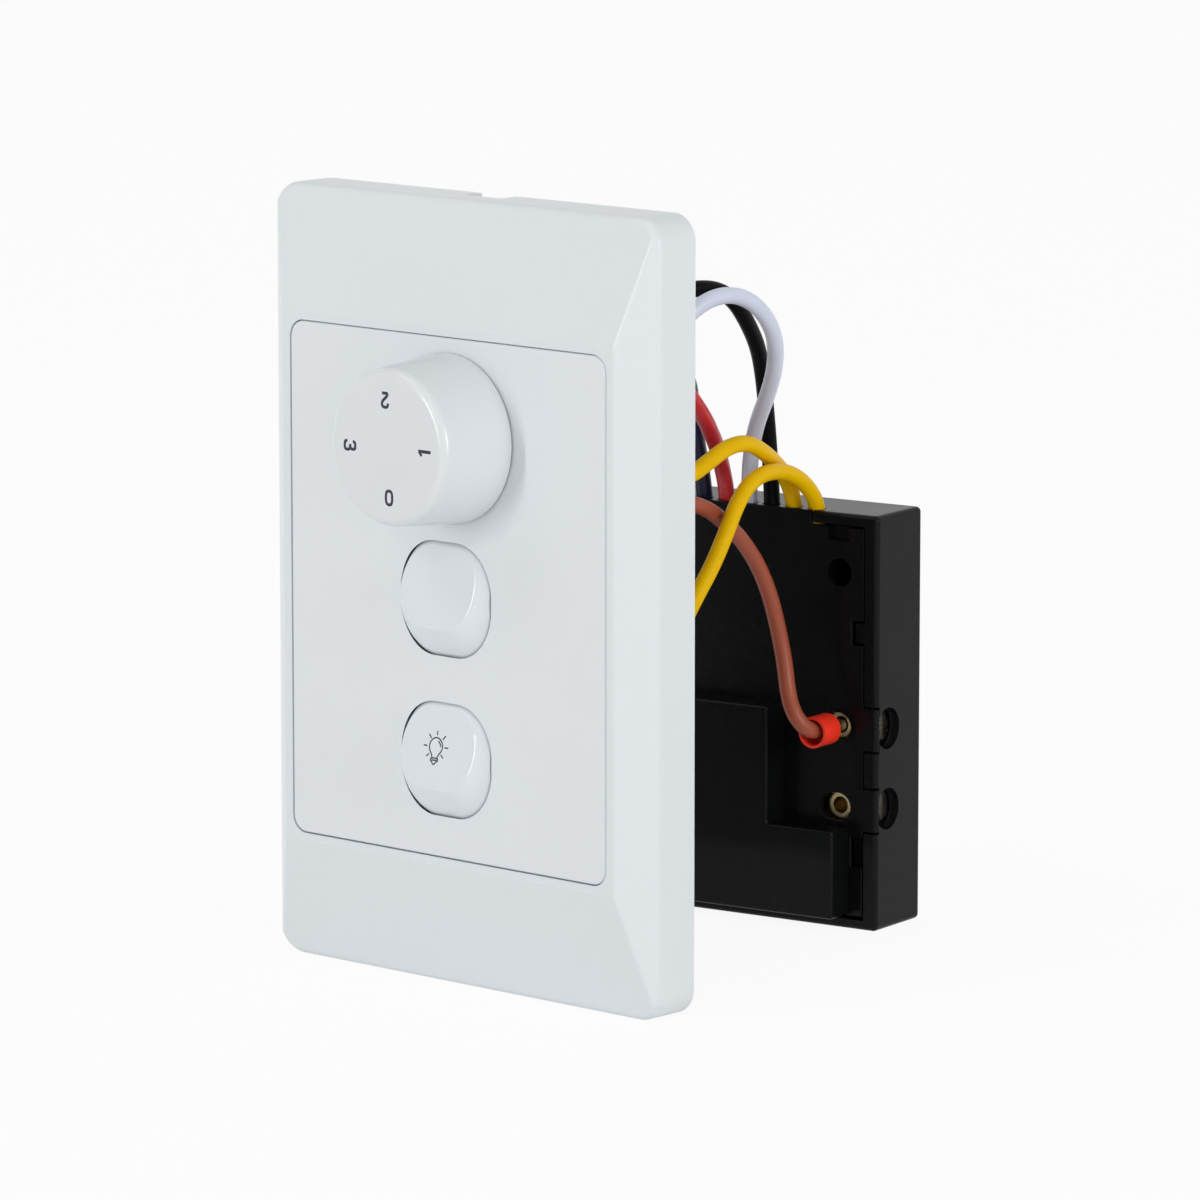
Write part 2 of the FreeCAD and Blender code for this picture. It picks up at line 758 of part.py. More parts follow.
def rotor_contact():
    back = wheel_span()[1]
    end = back + wiper_thickness
    plate = rod_y(wiper_hub_radius, 0, 0, back, end)
    plate = plate.fuse(block(-wiper_width / 2, wiper_width / 2, back, end, 0, wiper_reach))
    tip = wiper_reach - wiper_width / 2
    button = rotary_split - contact_gap
    plate = plate.fuse(rod_y(wiper_width / 2, 0, tip, back, button))
    plate = plate.cut(rod_y(rotor_pin_radius + fit_gap / 2, 0, 0, back - 1, button + 1))
    plate = turned(plate.removeSplitter(), V(0, 0, 0), V(0, 1, 0), 45)
    return moved(plate, x=knob_x, z=knob_z)


def detent_ball():
    front, back = wheel_span()
    centre = diagonal(wheel_radius + ball_gap + ball_radius)
    return Part.makeSphere(ball_radius, V(knob_x + centre.x, (front + back) / 2, knob_z + centre.z))


def detent_spring():
    front, back = wheel_span()
    start = wheel_radius + ball_gap + 2 * ball_radius
    length = detent_channel_end - start
    spring = coil_spring(ball_radius - spring_inset, spring_wire, length - 2 * fit_gap, 4)
    spring = turned(spring, V(0, 0, 0), V(1, 0, 0), 180)
    spring = moved(spring, z=-start - fit_gap)
    spring = turned(spring, V(0, 0, 0), V(0, 1, 0), 45)
    return moved(spring, x=knob_x, y=(front + back) / 2, z=knob_z)


def speed_knob():
    base = panel_front - knob_gap
    front = knob_front()
    profile = [V(0, front, 0), V(knob_face_radius, front, 0), V(knob_base_radius, base, 0), V(0, base, 0)]
    shell = Part.Face(Part.makePolygon(profile + profile[:1])).revolve(V(0, 0, 0), V(0, 1, 0), 360)
    rim = [e for e in shell.Edges if abs(e.BoundBox.YMax - front) < 1e-6 and e.BoundBox.XLength > 1]
    shell = shell.makeFillet(knob_edge_radius, rim)
    inner = front + knob_wall
    taper = (knob_base_radius - knob_face_radius) / knob_height
    wide = knob_base_radius - knob_wall
    narrow = wide - taper * (base - inner)
    bowl = [V(0, inner, 0), V(narrow, inner, 0), V(wide, base + 0.01, 0), V(0, base + 0.01, 0)]
    hollow = Part.Face(Part.makePolygon(bowl + bowl[:1])).revolve(V(0, 0, 0), V(0, 1, 0), 360)
    shell = shell.cut(hollow)
    hub_end = panel_front - bush_reach - knob_hub_gap
    added = [rod_y(knob_hub_radius, 0, 0, inner - 0.5, hub_end)]
    rib_end = panel_front - nut_thickness - knob_rib_gap
    for i in range(4):
        rib = block(-knob_rib_thickness / 2, knob_rib_thickness / 2, inner - 0.5, min(rib_end, hub_end),
                    knob_hub_radius - 0.5, narrow + 0.4)
        added.append(turned(rib, V(0, 0, 0), V(0, 1, 0), 45 + 90 * i))
    knob = shell.fuse(added)
    bore = rod_y(shaft_radius + fit_gap, 0, 0, inner + 0.2, hub_end + 1)
    bore = bore.cut(shaft_flat_cut(inner, hub_end + 2, fit_gap))
    return moved(knob.cut(bore).removeSplitter(), x=knob_x, z=knob_z)


def in_box(shape):
    """Moves a shape from the control box's own frame to where the box stands.

    In that frame the box's front right lower corner is the origin, X runs from -box_width to 0,
    Y is the depth behind the front and Z is the height.
    """
    return moved(turned(shape, V(0, 0, 0), V(0, 0, 1), box_yaw), box_corner.x, box_corner.y, box_corner.z)


def inset_block(u0, u1, v0, v1, w0, w1):
    """A block whose u values are insets from the box's right side."""
    return block(-u1, -u0, v0, v1, w0, w1)


def inset_prism(outline, v0, v1):
    return prism([V(-u, v0, w) for u, w in outline], V(0, v1 - v0, 0))


def wire_insets():
    return [first_wire_inset + wire_pitch * i for i in range(6)]


def wire_notches():
    top = box_height + 1
    return [rod(wire_notch_radius, V(-u, wire_notch_depth, wire_notch_bottom), V(-u, wire_notch_depth, top))
            for u in wire_insets()]


def terminal_heights():
    return [upper_terminal_height, lower_terminal_height]


def box_case():
    outer = block(-box_width, 0, 0, box_depth, 0, box_height)
    outer = outer.makeFillet(box_edge_fillet, outer.Edges)
    lid_back = lid_recess + lid_thickness
    back = box_depth - box_back_wall
    case = outer.cut(inset_block(box_wall, box_width - box_wall, lid_back + lid_gap, back, box_wall,
                                 box_height - box_wall))
    case = case.cut(inset_block(box_rim, box_width - box_rim, -1, lid_back + 1, box_bottom_rim,
                                box_height - box_top_rim))
    case = case.cut(inset_block(box_bracket, box_width - box_bracket, -1, lid_top_return + lid_gap,
                                box_bottom_rim, box_height + 1))
    for low, high in catch_spans:
        case = case.fuse(inset_block(box_wall, catch_inset - seam_gap, catch_recess, lid_back + 1,
                                     low + seam_gap, high - seam_gap))
    for w in terminal_heights():
        half = screw_window_radius + seam_gap
        case = case.cut(inset_block(-1, box_rim + 1, -1, tab_thickness + lid_gap, w - half, w + half))
        case = case.cut(rod_x(screw_window_radius, screw_window_depth, w, -box_wall - 1, 1))
    board_back = board_front + board_thickness
    for u in (board_post_inset, box_width - board_post_inset):
        for w in (board_post_low, board_post_high):
            case = case.fuse(rod_y(board_post_radius, -u, w, board_back, back + 0.5))
    return in_box(case.cut(wire_notches()).removeSplitter())


def bulge_outline(inset):
    return [(bulge_low_right + inset, bulge_bottom + inset), (bulge_left - inset, bulge_bottom + inset),
            (bulge_left - inset, bulge_top - inset), (bulge_high_right + inset, bulge_top - inset),
            (bulge_high_right + inset, bulge_step - inset), (bulge_low_right + inset, bulge_step - inset)]


def terminal_window(w, v0, v1):
    """The oblong opening in front of a box terminal."""
    half = terminal_window_height / 2
    run = (terminal_window_width - terminal_window_height) / 2
    window = inset_block(terminal_inset - run, terminal_inset + run, v0, v1, w - half, w + half)
    for shift in (-run, run):
        window = window.fuse(rod_y(half, -terminal_inset + shift, w, v0, v1))
    return window


def lid_tab(w):
    """The lid's tab over a screw window, rounded where it turns the box's corner."""
    half = screw_window_radius
    tab = inset_block(0, box_rim + seam_gap + 1, 0, tab_thickness, w - half, w + half)
    corner = [e for e in tab.Edges if e.BoundBox.XMin > -1e-6 and e.BoundBox.YMax < 1e-6]
    return tab.makeFillet(tab_edge_fillet, corner)


def box_lid():
    front = lid_recess
    back = lid_recess + lid_thickness
    edge = box_rim + seam_gap
    top = box_height - box_top_rim - seam_gap
    plate = inset_block(edge, box_width - edge, front, back, box_bottom_rim + seam_gap, top)
    for low, high in catch_spans:
        plate = plate.cut(inset_block(edge - 1, catch_inset, -1, back + 1, low, high))
    rim = [e for e in plate.Edges if e.BoundBox.YMax < front + 1e-6]
    plate = plate.makeFillet(lid_edge_fillet, rim)
    centre = inset_block(box_bracket + seam_gap, box_width - box_bracket - seam_gap, front, lid_top_return,
                         top - lid_top_overlap, box_height)
    rim = [e for e in centre.Edges if e.BoundBox.YMax < front + 1e-6 and e.BoundBox.ZMax > top]
    centre = centre.makeFillet(lid_edge_fillet, rim)
    bulge = inset_prism(bulge_outline(0), -bulge_height, front + 0.2)
    rim = [e for e in bulge.Edges if e.BoundBox.YMax < front - 0.1
           or (abs(e.BoundBox.YMin + bulge_height) < 1e-6 and e.BoundBox.YMax < front + 0.3)]
    bulge = bulge.makeFillet(bulge_fillet, rim)
    lid = fuse(plate, centre, bulge)
    lid = lid.cut(inset_prism(bulge_outline(bulge_wall), -bulge_height + bulge_wall, back + 1))
    for w in terminal_heights():
        lid = lid.fuse(lid_tab(w))
        lid = lid.cut(terminal_window(w, -1, back + 1))
    tube = rod_y(round_hole_radius + round_hole_tube, -round_hole_inset, round_hole_height, front + 0.5,
                 board_front - lid_gap)
    lid = lid.fuse(tube)
    lid = lid.cut(rod_y(round_hole_radius, -round_hole_inset, round_hole_height, front - 1, board_front - 1))
    lid = lid.cut(inset_block(slot_right, slot_left, -1, front + slot_depth, top - slot_height, top + 1))
    lid = lid.cut(wire_notches())
    return in_box(lid.removeSplitter())


def circuit_board():
    side = box_wall + board_side_gap
    board = inset_block(side, box_width - side, board_front, board_front + board_thickness, side,
                        box_height - board_top_gap)
    return in_box(board)


def capacitor(u0, u1, w0, w1, front):
    body = inset_block(u0, u1, front, board_front, w0, w1)
    edges = [e for e in body.Edges if abs(e.BoundBox.YLength - (board_front - front)) < 1e-6]
    return in_box(body.makeFillet(capacitor_corner, edges))


def large_capacitor():
    gap = bulge_wall + capacitor_gap
    return capacitor(bulge_high_right + gap, bulge_left - gap, bulge_bottom + gap, bulge_top - gap,
                     -bulge_height + gap)


def small_capacitor():
    gap = bulge_wall + capacitor_gap
    top = lower_terminal_height - terminal_size / 2 - capacitor_gap
    return capacitor(bulge_low_right + gap, bulge_high_right + gap - capacitor_spacing, bulge_bottom + gap,
                     min(top, bulge_step - gap), -bulge_height + gap)


def box_terminal(w):
    half = terminal_size / 2
    body = inset_block(terminal_inset - half, terminal_inset + half, box_terminal_front, board_front,
                       w - half, w + half)
    body = body.fuse(rod_y(box_neck_radius, -terminal_inset, w, box_terminal_neck, box_terminal_front + 1))
    body = body.cut(rod_y(box_bore_radius, -terminal_inset, w, box_terminal_neck - 1, box_bore_end))
    screw_end = -terminal_inset + half + 1
    body = body.cut(rod_x(screw_radius + fit_gap, box_screw_depth, w, -terminal_inset, screw_end))
    return in_box(body.removeSplitter())


def box_screws():
    half = terminal_size / 2
    screws = []
    for w in terminal_heights():
        seat = V(-terminal_inset + half + box_screw_lift, box_screw_depth, w)
        shank = half - box_bore_radius - fit_gap + box_screw_lift
        screws.append(cheese_head(seat, V(1, 0, 0), shank, V(0, 0, 1), box_screw_head_radius,
                                  box_screw_head_height))
    return in_box(Part.makeCompound(screws))


def ferrule_collar():
    w = upper_terminal_height
    x = -terminal_inset
    collar = rod_y(collar_radius, x, w, -collar_front, -collar_back)
    collar = collar.cut(rod_y(collar_bore, x, w, -collar_front - 1, -collar_back - collar_shoulder))
    collar = collar.cut(rod_y(pin_radius, x, w, -collar_front, 0))
    return in_box(collar)


def ferrule_pin():
    start = -collar_back - collar_shoulder
    return in_box(rod_y(pin_radius, -terminal_inset, upper_terminal_height, start, pin_end))


def box_point(u, v, w):
    """A point given in the control box's own frame, in the part's frame."""
    angle = math.radians(box_yaw)
    x = -u * math.cos(angle) - v * math.sin(angle)
    y = -u * math.sin(angle) + v * math.cos(angle)
    return box_corner + V(x, y, w)


def bend_radius(before, corner, after):
    turn = (corner - before).getAngle(after - corner)
    return bend_share * min((corner - before).Length, (after - corner).Length) / math.tan(turn / 2)


def wire_path(points):
    """Straight runs joined by tangent arcs, each as large as its two runs allow."""
    edges = []
    start = points[0]
    for before, corner, after in zip(points, points[1:], points[2:]):
        share = bend_share * min((corner - before).Length, (after - corner).Length)
        incoming = (corner - before).normalize()
        outgoing = (after - corner).normalize()
        first = corner - incoming * share
        last = corner + outgoing * share
        radius = bend_radius(before, corner, after)
        centre = first + (last - first) / 2
        inward = (centre - corner).normalize()
        half = (corner - before).getAngle(after - corner) / 2
        middle = corner + inward * (radius / math.cos(half) - radius)
        edges.append(Part.LineSegment(start, first).toShape())
        edges.append(Part.Arc(first, middle, last).toShape())
        start = last
    edges.append(Part.LineSegment(start, points[-1]).toShape())
    return Part.Wire(edges)


def hookup_wire(name, points):
    path = wire_path(points)
    direction = points[1] - points[0]
    section = Part.Wire(Part.makeCircle(wire_radius, points[0], direction))
    tube = path.makePipeShell([section], True, False)
    expected = math.pi * wire_radius ** 2 * path.Length
    tightest = min(bend_radius(a, b, c) for a, b, c in zip(points, points[1:], points[2:]))
    print(name, "length", round(path.Length, 1), "volume ratio", round(tube.Volume / expected, 4),
          "tightest bend", round(tightest, 1))
    save(name, tube)


def board_end(index, start_height):
    """A wire's way through its notch and back to the circuit board, where it is soldered."""
    u = first_wire_inset + wire_pitch * index
    v = wire_notch_depth
    face = board_front - wire_start_gap
    last = box_height - board_entry_drop
    return [box_point(u, v, start_height), box_point(u, v + 0.2, last + 3.0),
            box_point(u, v + 1.4, last - 0.9), box_point(u, v + 3.9, last - 3.0),
            box_point(u, face, last - 3.0)]


def collar_end():
    """The brown wire's last bend into its collar, where it meets the pin."""
    seat = -collar_back - collar_shoulder - wire_start_gap
    height = upper_terminal_height
    return [box_point(terminal_inset, seat - collar_straight, height),
            box_point(terminal_inset, seat, height)]


def points_of(rows):
    return [V(*row) for row in rows]


black_route = points_of([
    (-7.2, 17.0, 30.9), (-7.2, 22.6, 30.9), (-6.2, 27.4, 33.0), (-3.4, 30.8, 36.6), (0.4, 33.4, 39.6),
    (3.8, 37.0, 41.2), (5.2, 41.6, 41.0), (5.0, 45.8, 38.8), (4.4, 49.6, 35.0), (3.0, 53.6, 30.8),
    (1.2, 56.8, 26.0), (-0.4, 59.4, 20.6), (-1.0, 60.8, 14.8)]) + board_end(2, 66.5)
white_route = points_of([
    (7.2, 17.0, 30.9), (7.2, 22.4, 30.9), (7.6, 26.4, 33.2), (8.2, 29.6, 36.6), (9.4, 32.8, 39.6),
    (10.6, 36.8, 41.0), (11.4, 41.2, 40.2), (11.8, 45.0, 37.4), (10.8, 48.6, 33.4), (8.4, 51.4, 28.6),
    (5.0, 53.6, 23.8), (1.0, 55.8, 19.2), (-2.2, 58.0, 14.2)]) + board_end(3, 66.5)
red_route = points_of([
    (0.0, 17.0, 23.7), (0.0, 22.6, 23.7), (0.6, 28.0, 25.0), (1.4, 33.6, 26.4), (1.8, 39.4, 25.6),
    (0.2, 44.6, 22.2), (-2.6, 49.2, 18.4), (-5.2, 53.6, 14.8), (-7.4, 57.4, 10.8)]) + board_end(4, 65.0)
navy_route = points_of([
    (-7.2, 17.0, 16.5), (-7.2, 22.6, 16.5), (-6.8, 28.0, 18.0), (-6.2, 33.6, 20.6), (-6.0, 39.6, 22.4),
    (-6.6, 45.6, 21.8), (-8.0, 51.0, 18.6), (-10.2, 55.4, 13.8)]) + board_end(5, 65.5)
brown_route = points_of([
    (7.2, 17.0, 7.2), (7.2, 22.4, 7.2), (7.4, 27.6, 8.6), (7.6, 32.4, 10.0), (7.6, 37.0, 8.6),
    (7.7, 41.2, 5.8), (8.0, 44.8, 2.6), (8.6, 47.6, -1.4), (9.0, 49.8, -6.2), (9.2, 51.4, -11.4),
    (9.8, 52.2, -16.6), (10.8, 51.8, -21.2), (12.4, 51.6, -24.4)]) + collar_end()
rear_yellow_route = points_of([
    (7.2, 17.0, 16.5), (7.2, 22.4, 16.5), (7.8, 27.2, 14.6), (8.8, 31.4, 14.0), (9.4, 35.2, 16.0),
    (9.6, 39.4, 17.9), (9.4, 44.0, 18.0), (8.2, 48.8, 16.0), (5.8, 54.2, 13.6),
    (4.2, 58.6, 10.9)]) + board_end(1, 64.8)
front_yellow_route = points_of([
    (7.2, 17.0, -16.5), (7.2, 22.2, -16.5), (8.0, 26.0, -13.8), (9.4, 28.2, -9.2), (10.4, 31.2, -3.8),
    (10.8, 34.4, 0.4), (10.8, 37.6, 5.2), (10.4, 40.8, 9.8), (10.0, 44.8, 12.6), (9.0, 50.5, 13.0),
    (8.4, 55.4, 11.9), (8.0, 59.2, 9.6)]) + board_end(0, 64.8)

os.makedirs("parts", exist_ok=True)

save("surround", surround())
save("grid_plate", grid_plate())

for place, level in (("upper", upper_z), ("lower", lower_z)):
    save(place + "_switch_body", switch_body(level))
    save(place + "_rocker", rocker(level))
    save(place + "_plunger", plunger(level))
    save(place + "_plunger_spring", plunger_spring(level))
    save(place + "_contact_arm", contact_arm(level))
    save(place + "_common_terminal", common_terminal(level))
    save(place + "_active_terminal", active_terminal(level))
    save(place + "_terminal_screws", switch_screws(level))

save("rotary_body", rotary_body())
save("rotary_cover", rotary_cover())
save("rotary_nut", rotary_nut())
save("rotor_shaft", rotor_shaft())
save("rotor_contact", rotor_contact())
save("detent_ball", detent_ball())
save("detent_spring", detent_spring())
save("rotary_terminals", rotary_terminals())
save("rotary_screws", rotary_screws())
save("speed_knob", speed_knob())

save("box_case", box_case())
save("box_lid", box_lid())
save("circuit_board", circuit_board())
save("large_capacitor", large_capacitor())
save("small_capacitor", small_capacitor())
for place, height in (("upper", upper_terminal_height), ("lower", lower_terminal_height)):
    save(place + "_box_terminal", box_terminal(height))
save("box_screws", box_screws())
save("ferrule_collar", ferrule_collar())
save("ferrule_pin", ferrule_pin())

hookup_wire("black_wire", black_route)
hookup_wire("white_wire", white_route)
hookup_wire("red_wire", red_route)
hookup_wire("navy_wire", navy_route)
hookup_wire("brown_wire", brown_route)
hookup_wire("rear_yellow_wire", rear_yellow_route)
hookup_wire("front_yellow_wire", front_yellow_route)
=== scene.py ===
import json
import math
import bpy
from mathutils import Euler, Matrix, Vector


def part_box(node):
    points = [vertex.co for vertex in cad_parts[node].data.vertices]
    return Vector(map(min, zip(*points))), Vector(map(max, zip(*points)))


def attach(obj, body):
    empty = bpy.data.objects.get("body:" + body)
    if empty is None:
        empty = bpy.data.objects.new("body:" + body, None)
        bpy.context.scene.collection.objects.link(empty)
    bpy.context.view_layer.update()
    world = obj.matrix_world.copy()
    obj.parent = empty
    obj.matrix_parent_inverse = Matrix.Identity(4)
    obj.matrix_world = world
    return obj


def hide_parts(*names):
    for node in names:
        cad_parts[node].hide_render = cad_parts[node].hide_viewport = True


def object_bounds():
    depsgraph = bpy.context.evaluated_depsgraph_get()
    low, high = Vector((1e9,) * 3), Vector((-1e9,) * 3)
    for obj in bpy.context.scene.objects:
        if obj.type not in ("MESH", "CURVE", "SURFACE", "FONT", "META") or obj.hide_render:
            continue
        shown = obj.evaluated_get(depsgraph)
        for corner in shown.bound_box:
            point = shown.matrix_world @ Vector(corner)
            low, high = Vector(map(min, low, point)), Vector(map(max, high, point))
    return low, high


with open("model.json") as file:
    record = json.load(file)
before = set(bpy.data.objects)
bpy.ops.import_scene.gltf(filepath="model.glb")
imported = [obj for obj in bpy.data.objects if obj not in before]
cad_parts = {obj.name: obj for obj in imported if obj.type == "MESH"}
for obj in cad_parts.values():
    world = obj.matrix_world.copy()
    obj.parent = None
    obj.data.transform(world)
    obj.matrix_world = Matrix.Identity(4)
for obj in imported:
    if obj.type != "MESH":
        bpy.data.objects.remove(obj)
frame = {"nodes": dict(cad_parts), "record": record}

nodes = frame["nodes"]
cadBox = [list(corner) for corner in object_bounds()]
print("frame loaded:", len(nodes), "CAD pieces")

# Colours are written from 0 to 255 and turned into linear light
displayCurve = {"top": 255, "knee": 0.04045, "slope": 12.92, "offset": 0.055, "power": 2.4}


def linearLevel(value):
    level = value / displayCurve["top"]
    if level <= displayCurve["knee"]:
        return level / displayCurve["slope"]
    lifted = (level + displayCurve["offset"]) / (1 + displayCurve["offset"])
    return lifted ** displayCurve["power"]


def paint(red, green, blue):
    return (linearLevel(red), linearLevel(green), linearLevel(blue), 1.0)


# Camera, fitted to the photograph's viewpoint, in degrees, metres and lens millimetres
photoView = {
    "azimuth": 42.372, "elevation": 9.465, "distance": 1.070002, "sideShift": 0.019595,
    "depthShift": -0.0075, "height": -0.0006, "lens": 220.7224, "sensor": 36.0,
    "nearClip": 0.01, "farClip": 20.0,
}


def placeCamera():
    azimuth = math.radians(photoView["azimuth"])
    elevation = math.radians(photoView["elevation"])
    towards = Vector((math.sin(azimuth) * math.cos(elevation),
                      -math.cos(azimuth) * math.cos(elevation), math.sin(elevation)))
    right = Vector((math.cos(azimuth), math.sin(azimuth), 0))
    middle = Vector((0, photoView["depthShift"], photoView["height"]))
    target = right * photoView["sideShift"] + middle
    bpy.ops.object.camera_add(location=target + towards * photoView["distance"])
    camera = bpy.context.object
    camera.name = "photoCamera"
    camera.rotation_euler = towards.to_track_quat("Z", "Y").to_euler()
    camera.data.sensor_width = photoView["sensor"]
    camera.data.lens = photoView["lens"]
    camera.data.clip_start = photoView["nearClip"]
    camera.data.clip_end = photoView["farClip"]
    bpy.context.scene.camera = camera


# The CAD nodes come in selected
bpy.ops.object.select_all(action="DESELECT")
placeCamera()
print("camera placed")

# Hook-up wires from the mechanisms to the control box, in metres
wireBuild = {"diameter": 0.0025, "bevelScale": 1.0, "roundness": 6, "steps": 14, "order": 3}
wireRoutes = {
    "blackWire": {
        "node": "black_wire", "slot": "black_pvc", "length": 0.0883,
        "points": [
            (-0.0072, 0.017, 0.0309), (-0.0072, 0.0226, 0.0309), (-0.0062, 0.0274, 0.033),
            (-0.0034, 0.0308, 0.0366), (0.0004, 0.0334, 0.0396), (0.0038, 0.037, 0.0412),
            (0.0052, 0.0416, 0.041), (0.005, 0.0458, 0.0388), (0.0044, 0.0496, 0.035),
            (0.003, 0.0536, 0.0308), (0.0012, 0.0568, 0.026), (-0.0004, 0.0594, 0.0206),
            (-0.001, 0.0608, 0.0148), (-0.0003, 0.06061, 0.0085), (-0.00033, 0.06081, 0.0028),
            (-0.00051, 0.062, -0.0011), (-0.00089, 0.06447, -0.0032), (-0.00138, 0.06771, -0.0032),
        ]},
    "whiteWire": {
        "node": "white_wire", "slot": "white_pvc", "length": 0.0855,
        "points": [
            (0.0072, 0.017, 0.0309), (0.0072, 0.0224, 0.0309), (0.0076, 0.0264, 0.0332),
            (0.0082, 0.0296, 0.0366), (0.0094, 0.0328, 0.0396), (0.0106, 0.0368, 0.041),
            (0.0114, 0.0412, 0.0402), (0.0118, 0.045, 0.0374), (0.0108, 0.0486, 0.0334),
            (0.0084, 0.0514, 0.0286), (0.005, 0.0536, 0.0238), (0.001, 0.0558, 0.0192),
            (-0.0022, 0.058, 0.0142), (-0.0043, 0.06, 0.0085), (-0.00433, 0.0602, 0.0028),
            (-0.00451, 0.06139, -0.0011), (-0.00489, 0.06386, -0.0032), (-0.00539, 0.0671, -0.0032),
        ]},
    "redWire": {
        "node": "red_wire", "slot": "red_pvc", "length": 0.0667,
        "points": [
            (0.0, 0.017, 0.0237), (0.0, 0.0226, 0.0237), (0.0006, 0.028, 0.025),
            (0.0012, 0.0334, 0.0278), (0.0012, 0.0388, 0.0262), (0.0002, 0.0446, 0.0208),
            (-0.0024, 0.0494, 0.0172), (-0.0052, 0.0536, 0.0148), (-0.0074, 0.0574, 0.0108),
            (-0.00831, 0.05939, 0.007), (-0.00834, 0.05959, 0.0028), (-0.00852, 0.06078, -0.0011),
            (-0.0089, 0.06325, -0.0032), (-0.00939, 0.06649, -0.0032),
        ]},
    "navyWire": {
        "node": "navy_wire", "slot": "navy_pvc", "length": 0.0652,
        "points": [
            (-0.0072, 0.017, 0.0165), (-0.0072, 0.0226, 0.0165), (-0.0068, 0.028, 0.018),
            (-0.0062, 0.0336, 0.022), (-0.0062, 0.039, 0.0254), (-0.0062, 0.0446, 0.027),
            (-0.0074, 0.0494, 0.0264), (-0.0102, 0.0538, 0.0188), (-0.01231, 0.05878, 0.0075),
            (-0.01234, 0.05898, 0.0028), (-0.01252, 0.06017, -0.0011), (-0.0129, 0.06264, -0.0032),
            (-0.01339, 0.06588, -0.0032),
        ]},
    "brownWire": {
        "node": "brown_wire", "slot": "brown_pvc", "length": 0.0661,
        "points": [
            (0.0072, 0.017, 0.0072), (0.0072, 0.0224, 0.0072), (0.0074, 0.0276, 0.0086),
            (0.0076, 0.0324, 0.01), (0.0076, 0.037, 0.0086), (0.0077, 0.0412, 0.0058),
            (0.008, 0.0448, 0.0026), (0.0086, 0.0476, -0.0014), (0.009, 0.0498, -0.0062),
            (0.0092, 0.0514, -0.0114), (0.0098, 0.0522, -0.0166), (0.0108, 0.0518, -0.0212),
            (0.0124, 0.0516, -0.0244), (0.01358, 0.05381, -0.027), (0.01307, 0.05717, -0.027),
        ]},
    "rearYellowWire": {
        "node": "rear_yellow_wire", "slot": "yellow_pvc", "length": 0.0644,
        "points": [
            (0.0072, 0.017, 0.0165), (0.0072, 0.0224, 0.0165), (0.0078, 0.0272, 0.0146),
            (0.0088, 0.0314, 0.014), (0.0094, 0.0352, 0.016), (0.0096, 0.0394, 0.0179),
            (0.0094, 0.044, 0.018), (0.0082, 0.0488, 0.016), (0.0058, 0.0542, 0.0136),
            (0.0042, 0.0586, 0.0109), (0.0037, 0.06123, 0.0068), (0.00367, 0.06142, 0.0028),
            (0.00349, 0.06261, -0.0011), (0.00312, 0.06508, -0.0032), (0.00262, 0.06832, -0.0032),
        ]},
    "frontYellowWire": {
        "node": "front_yellow_wire", "slot": "yellow_pvc", "length": 0.0760,
        "points": [
            (0.0072, 0.017, -0.0165), (0.0072, 0.0222, -0.0165), (0.008, 0.026, -0.0138),
            (0.0094, 0.0282, -0.0092), (0.0104, 0.0312, -0.0038), (0.0108, 0.0344, 0.0004),
            (0.0108, 0.0376, 0.0052), (0.0104, 0.0408, 0.0098), (0.01, 0.0448, 0.0126),
            (0.009, 0.0505, 0.013), (0.0084, 0.0554, 0.0119), (0.008, 0.0592, 0.0096),
            (0.00771, 0.06184, 0.0068), (0.00768, 0.06203, 0.0028), (0.0075, 0.06322, -0.0011),
            (0.00712, 0.06569, -0.0032), (0.00663, 0.06893, -0.0032),
        ]},
}


def layWire(name, plan):
    line = bpy.data.curves.new(name, "CURVE")
    line.dimensions = "3D"
    spline = line.splines.new("NURBS")
    spline.points.add(len(plan["points"]) - 1)
    for point, place in zip(spline.points, plan["points"]):
        point.co = (*place, 1.0)
        point.radius = wireBuild["diameter"] / 2
    spline.order_u = wireBuild["order"]
    spline.use_endpoint_u = True
    line.resolution_u = wireBuild["steps"]
    # The points carry the radius, so that the wire's bounding box is true
    line.bevel_depth = wireBuild["bevelScale"]
    line.bevel_resolution = wireBuild["roundness"]
    line.use_fill_caps = True
    piece = bpy.data.objects.new(name, line)
    bpy.context.collection.objects.link(piece)
    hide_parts(plan["node"])
    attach(piece, "base")
    return piece


wires = {name: layWire(name, plan) for name, plan in wireRoutes.items()}
print("wires laid:", len(wires))

# Surface effects that several materials share
mixSockets = {"factor": 0, "first": 6, "second": 7, "result": 2}  # by place: names repeat there
noiseMiddle = 0.5
mouldedLook = {"cloudDetail": 3.0, "grainDetail": 2.0, "grainRoughness": 0.6}
dustLook = {"speckScale": 900.0, "speckDetail": 4.0, "speckRoughness": 0.7, "patchScale": 60.0,
            "patchDetail": 2.0, "threshold": 0.27, "contrast": 6.0}
metalLook = {"stainScale": 350.0, "stainDetail": 4.0, "stainRoughness": 0.6, "lineScale": 4000.0,
             "lineDetail": 2.0, "roughnessSpread": 0.3, "reliefDepth": 0.00001,
             "reliefStrength": 0.6}
skinOutputs = {"Colour": "Color", "Roughness": "Float", "Height": "Float"}


def newGroup(name, inputs, outputs):
    group = bpy.data.node_groups.new(name, "ShaderNodeTree")
    for side, labels in (("INPUT", inputs), ("OUTPUT", outputs)):
        for label, kind in labels.items():
            group.interface.new_socket(label, in_out=side, socket_type="NodeSocket" + kind)
    entry = group.nodes.new("NodeGroupInput")
    leave = group.nodes.new("NodeGroupOutput")
    return group, entry.outputs, leave.inputs


def addNode(tree, kind, **settings):
    node = tree.nodes.new(kind)
    for key, value in settings.items():
        setattr(node, key, value)
    return node


